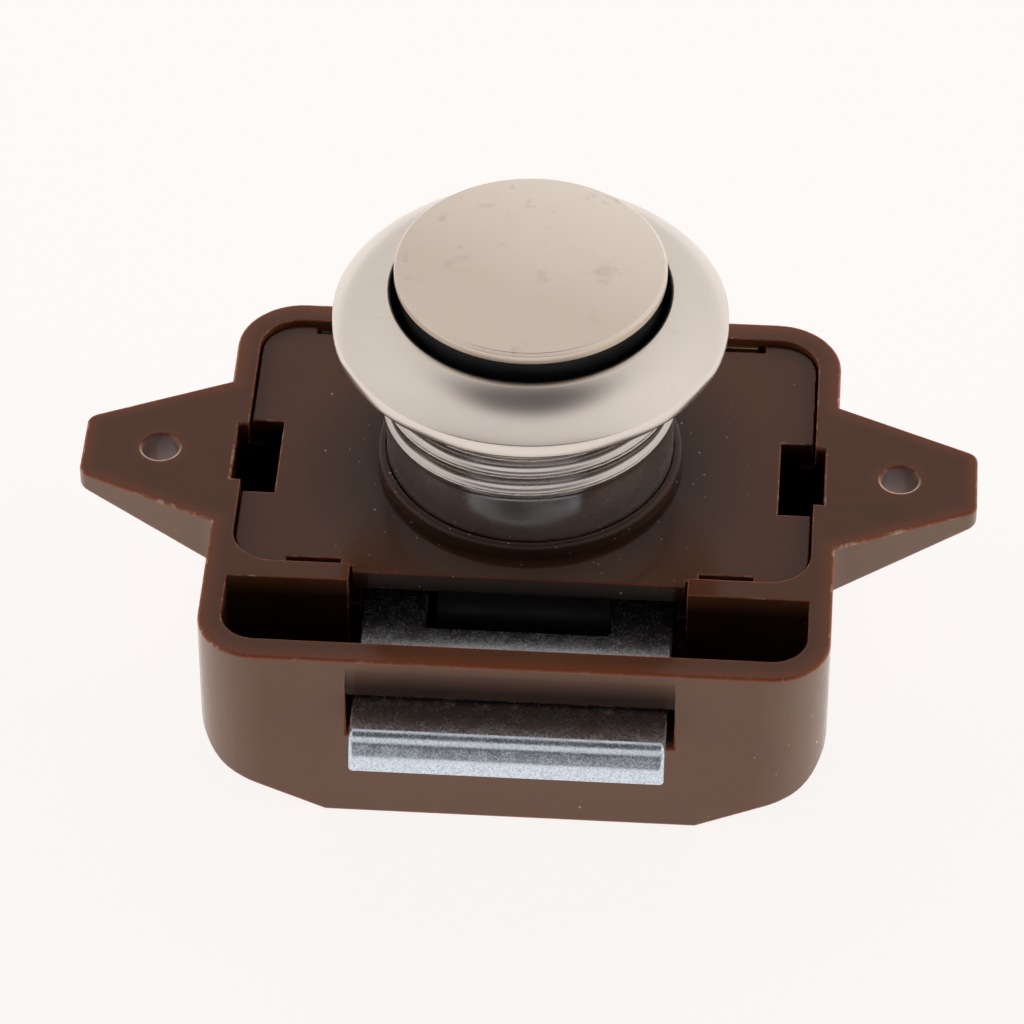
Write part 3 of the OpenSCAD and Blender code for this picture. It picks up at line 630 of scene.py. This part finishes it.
# the sleeve is a column of rows between two rounded corners, the dome an arc of one radius over the chord
# from flange to lip, and the lip a bead that turns into the bore
def rosetteProfile(s, seat):
    top = s["panel"] + s["band"]
    a = np.array([s["flange"], top])
    b = np.array([s["lipRadius"], s["lip"]])
    chord = b - a
    lean = np.array([-chord[1], chord[0]]) / np.linalg.norm(chord)  # towards the axis side of the chord
    centre = (a + b) / 2 + lean * math.sqrt(s["dome"] ** 2 - chord @ chord / 4)
    start, end = [math.atan2(*(q - centre)[::-1]) for q in (a, b)]
    sweep = np.linspace(start, end, s["domeSteps"])[1:-1]
    dome = centre + s["dome"] * np.stack([np.cos(sweep), np.sin(sweep)], -1)
    lower = roundedPath([(s["bore"], seat), (s["pilot"], seat), (s["pilot"], s["panel"]),
                         (s["flange"], s["panel"]), (s["flange"], top)], s["cornerRadii"], s["cornerSteps"])
    sleeve = np.linspace(s["threadLow"] - s["pitch"], s["panel"] - s["sleeveGap"], s["rows"])
    split = np.argmax(lower[:, 0] >= s["pilot"] - s["same"]) + 1
    column = np.stack([np.full(len(sleeve), s["pilot"]), sleeve], -1)
    turnIn = np.linspace(math.radians(s["beadFrom"]), math.radians(s["beadTo"]), s["beadSteps"])
    beadCentre = np.array([s["lipRadius"] - s["bead"], s["lip"] - s["bead"]])
    bead = beadCentre + s["bead"] * np.stack([np.cos(turnIn), np.sin(turnIn)], -1)
    inside = np.array([[s["bore"], s["lip"] - s["boreStart"] * s["bead"]],
                       [s["bore"], s["lip"] - s["boreDrop"]]])
    return np.concatenate([lower[:split], column, lower[split:], dome, bead, inside]) * mm


# thread: a right-hand helix climbs one pitch a turn from the back; from each flat crest the radius falls
# along a quarter ellipse to the root, the first turn fades in, and the pilot below tapers to the root
def threadShape(radius, height, turn, s=ring):
    z = height / mm
    share = (turn / (2 * math.pi) - s["startTurn"]) % 1.0
    lap = np.maximum(np.round((z - s["threadLow"]) / s["pitch"] - share), 0)
    line = s["threadLow"] + s["pitch"] * (lap + share)
    away = np.abs(z - line) / s["pitch"]
    valley = np.clip((away - s["crestFlat"]) / (0.5 - s["crestFlat"]), 0, 1)
    ridge = 1 - np.sqrt(1 - (1 - valley) ** 2)
    ridge = ridge * np.clip((lap + share) / s["fade"], 0, 1)
    start = s["threadLow"] - s["pitch"]
    core = np.maximum(s["pilot"] - s["taper"] * np.maximum(z - start, 0), s["root"])
    sleeve = (np.abs(radius / mm - s["pilot"]) < s["same"]) & (z > 0)
    return np.where(sleeve, core + (s["pilot"] + s["crest"] - core) * ridge, radius / mm) * mm


rosette = turned("rosetteRing", rosetteProfile(ring, roseLow.z / mm), ring["sides"],
                 [nickelDome, nickelBright], "rosette", "satin_nickel", "rosette", threadShape)
centres = np.zeros(len(rosette.data.polygons) * 3)
rosette.data.polygons.foreach_get("center", centres)
belowPanel = (centres[2::3] < (ring["panel"] - ring["finishGap"]) * mm).astype(np.int32)
rosette.data.polygons.foreach_set("material_index", belowPanel)
print("rosette done:", len(rosette.data.polygons), "faces")

# cap: a disc with a faint crown, a small bevel and a turned-down side; lengths in millimetres
cap = dict(radius=11.18, bevel=0.25, thick=1.22, crown=0.16, spigot=2.0, spigotLength=4.0, faceGap=0.3,
           faceSteps=24, cornerRadii=[0, 0.12, 0.12, 0.15, 0.05, 0.2, 0], cornerSteps=6, sides=192)


# the crown falls from the middle with the square of the radius, and the rest is a path of rounded corners
def capProfile(s, top):
    low = top - s["thick"]
    shoulder = top - s["crown"]
    flat = s["radius"] - s["bevel"]
    foot = low - s["spigotLength"]
    edge = roundedPath([(0, shoulder), (flat, shoulder), (s["radius"], shoulder - s["bevel"]),
                        (s["radius"], low), (s["spigot"], low), (s["spigot"], foot), (0, foot)],
                       s["cornerRadii"], s["cornerSteps"])
    r = np.linspace(0, flat - s["faceGap"], s["faceSteps"])
    face = np.stack([r, top - s["crown"] * (r / flat) ** 2], -1)
    return np.concatenate([face, edge[1:]]) * mm


turned("knobCap", capProfile(cap, capHigh.z / mm), cap["sides"], [nickelCap], "knob", "satin_nickel",
       "knob_cap")
print("cap done")

# coil springs; the bolt's springs keep this share of their length when the bolt is drawn back
springs = dict(plungerWire=0.8 * mm, plungerCurls=8, boltWire=0.45 * mm, boltCurls=6, boltKeep=0.47,
               rings=32, sides=12)


# a round wire section follows a helix, closed by a flat face at each end
def coil(name, node, wire, curls, along, body, s=springs):
    low, high = [np.array(c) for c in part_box(node)]
    rest = [k for k in range(3) if k != along]
    radius = (high - low)[rest].max() / 2 - wire / 2
    middle = (low + high) / 2
    t = np.linspace(0, 1, curls * s["rings"] + 1)
    phase = 2 * math.pi * curls * t
    axis = np.zeros((len(t), 3))
    axis[:, rest[0]] = middle[rest[0]] + radius * np.cos(phase)
    axis[:, rest[1]] = middle[rest[1]] + radius * np.sin(phase)
    axis[:, along] = low[along] + wire / 2 + (high[along] - low[along] - wire) * t
    outward = axis - middle
    outward[:, along] = 0
    outward /= np.linalg.norm(outward, axis=1, keepdims=True)
    tangent = np.gradient(axis, axis=0)
    tangent /= np.linalg.norm(tangent, axis=1, keepdims=True)
    side = np.cross(tangent, outward)
    sides = s["sides"]
    angle = np.linspace(0, 2 * math.pi, sides, endpoint=False)[None, :, None]
    points = axis[:, None] + wire / 2 * (outward[:, None] * np.cos(angle) + side[:, None] * np.sin(angle))
    faces = gridFaces(len(t), sides, False, True).tolist()
    faces += [list(range(sides))[::-1], list(range((len(t) - 1) * sides, len(t) * sides))]
    mesh = meshFrom(name, points, faces)
    work = bmesh.new()
    work.from_mesh(mesh)
    bmesh.ops.recalc_face_normals(work, faces=work.faces)
    work.to_mesh(mesh)
    work.free()
    return linkPiece(name, mesh, [springWire], body, "spring_steel", node)


# the button's spring stands on the floor, its transform baked in; the bolt's springs go with the case
wire = springs["plungerWire"]
upright = coil("plungerCoil", "plunger_spring", wire, springs["plungerCurls"], 2, None)
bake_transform(upright)
for side in ("left", "right"):
    node = "bolt_spring_" + side
    lying = coil("boltCoil." + side, node, springs["boltWire"], springs["boltCurls"], 1, "case")
    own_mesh(lying)
print("springs done")

# studio: pale floor and backdrop; light comes in low all round and up from the floor, and the metal
# mirrors the pale backdrop with a dim patch overhead and a dusky band low in front
studio = dict(
    floor=(0.90, 0.885, 0.875), back=(0.985, 0.955, 0.94), tint=(1.0, 0.985, 0.97), floorHalf=3.0,
    floorGlow=0.895, floorShade=(0.25, 0.24, 0.235), bounce=0.95,
    # light, by height and from back to front
    overhead=0.02, lowLight=3.3, lowTop=0.62, lowFull=0.15, fromFront=0.06, fromBack=1.15, frontFull=0.75,
    # what the metal mirrors
    dimEdge=0.87, dimCore=0.985, dimLevel=0.10, level=0.90, rightward=0.06, backward=-0.12, forward=-0.30,
    duskFoot=0.03, duskFade=0.7, duskTop=0.56, duskFront=(0.55, 0.85), duskLevel=0.2)


# direct rays: those that show the floor or backdrop itself, seen straight, mirrored or through glass
def directRays(tree):
    path = addNode(tree, "ShaderNodeLightPath")
    mirrored = maths(tree, "MAXIMUM", path.outputs["Is Glossy Ray"], path.outputs["Is Transmission Ray"])
    return path, maths(tree, "MAXIMUM", path.outputs["Is Camera Ray"], mirrored)


def mixShaders(tree, factor, first, second):
    mix = addNode(tree, "ShaderNodeMixShader")
    for socket, value in zip(mix.inputs, (factor, first.outputs[0], second.outputs[0])):
        tree.links.new(value, socket)
    return mix


def glowingFloor(tree, matte, glow, level):
    both = addNode(tree, "ShaderNodeAddShader")
    matteShader = addNode(tree, "ShaderNodeBsdfDiffuse", Color=(*matte, 1.0))
    glowShader = addNode(tree, "ShaderNodeEmission", Color=(*glow, 1.0), Strength=level)
    tree.links.new(matteShader.outputs[0], both.inputs[0])
    tree.links.new(glowShader.outputs[0], both.inputs[1])
    return both


def paleStage(s):
    h = s["floorHalf"]
    mesh = bpy.data.meshes.new("paleFloor")
    corners = [(-h, -h, floorZ), (h, -h, floorZ), (h, h, floorZ), (-h, h, floorZ)]
    mesh.from_pydata(corners, [], [(0, 1, 2, 3)])
    mat = bpy.data.materials.new("paleFloor")
    mat.use_nodes = True
    tree = mat.node_tree
    tree.nodes.clear()
    direct = directRays(tree)[1]
    bounced = glowingFloor(tree, s["floor"], s["back"], s["bounce"])
    seen = glowingFloor(tree, s["floorShade"], s["back"], s["floorGlow"])
    out = addNode(tree, "ShaderNodeOutputMaterial")
    tree.links.new(mixShaders(tree, direct, bounced, seen).outputs[0], out.inputs["Surface"])
    mesh.materials.append(mat)
    floor = bpy.data.objects.new("paleFloor", mesh)
    scene.collection.objects.link(floor)


def paleWorld(s):
    world = bpy.data.worlds.new("paleWorld")
    world.use_nodes = True
    scene.world = world
    tree = world.node_tree
    tree.nodes.clear()
    toward = addNode(tree, "ShaderNodeTexCoord").outputs["Generated"]
    up = vectorValue(tree, "DOT_PRODUCT", toward, (0.0, 0.0, 1.0))
    front = vectorValue(tree, "DOT_PRODUCT", toward, (0.0, -1.0, 0.0))
    low = remap(tree, up, s["lowFull"], s["lowTop"], s["lowLight"], 0.0, "SMOOTHSTEP")
    share = remap(tree, front, 0.0, s["frontFull"], s["fromBack"], s["fromFront"], "SMOOTHSTEP")
    level = maths(tree, "ADD", maths(tree, "MULTIPLY", low, share), s["overhead"])
    light = addNode(tree, "ShaderNodeBackground", Color=(*s["tint"], 1.0))
    feed(tree, light.inputs["Strength"], level)
    dim = remap(tree, up, s["dimEdge"], s["dimCore"], 1.0, s["dimLevel"], "SMOOTHSTEP")
    slant = vectorValue(tree, "DOT_PRODUCT", toward, (s["rightward"], s["backward"], 0.0))
    ahead = maths(tree, "MULTIPLY", maths(tree, "MAXIMUM", front, 0.0), s["forward"])
    wide = maths(tree, "ADD", maths(tree, "ADD", slant, ahead), s["level"])
    duskBand = maths(tree, "MULTIPLY", remap(tree, up, 0.0, s["duskFoot"], 0.0, 1.0),
                     remap(tree, up, s["duskTop"] * s["duskFade"], s["duskTop"], 1.0, 0.0, "SMOOTHSTEP"))
    dusk = maths(tree, "MULTIPLY", duskBand, remap(tree, front, *s["duskFront"], 0.0, 1.0, "SMOOTHSTEP"))
    dim = maths(tree, "MULTIPLY", dim, remap(tree, dusk, 0.0, 1.0, 1.0, s["duskLevel"]))
    mirrored = addNode(tree, "ShaderNodeBackground", Color=(*s["back"], 1.0))
    feed(tree, mirrored.inputs["Strength"], maths(tree, "MULTIPLY", dim, wide))
    shown = addNode(tree, "ShaderNodeBackground", Color=(*s["back"], 1.0), Strength=1.0)
    path, direct = directRays(tree)
    out = addNode(tree, "ShaderNodeOutputWorld")
    seen = mixShaders(tree, path.outputs["Is Camera Ray"], mirrored, shown)
    tree.links.new(mixShaders(tree, direct, light, seen).outputs[0], out.inputs["Surface"])


paleStage(studio)
paleWorld(studio)
scene.view_settings.view_transform = "Standard"
print("studio lit")
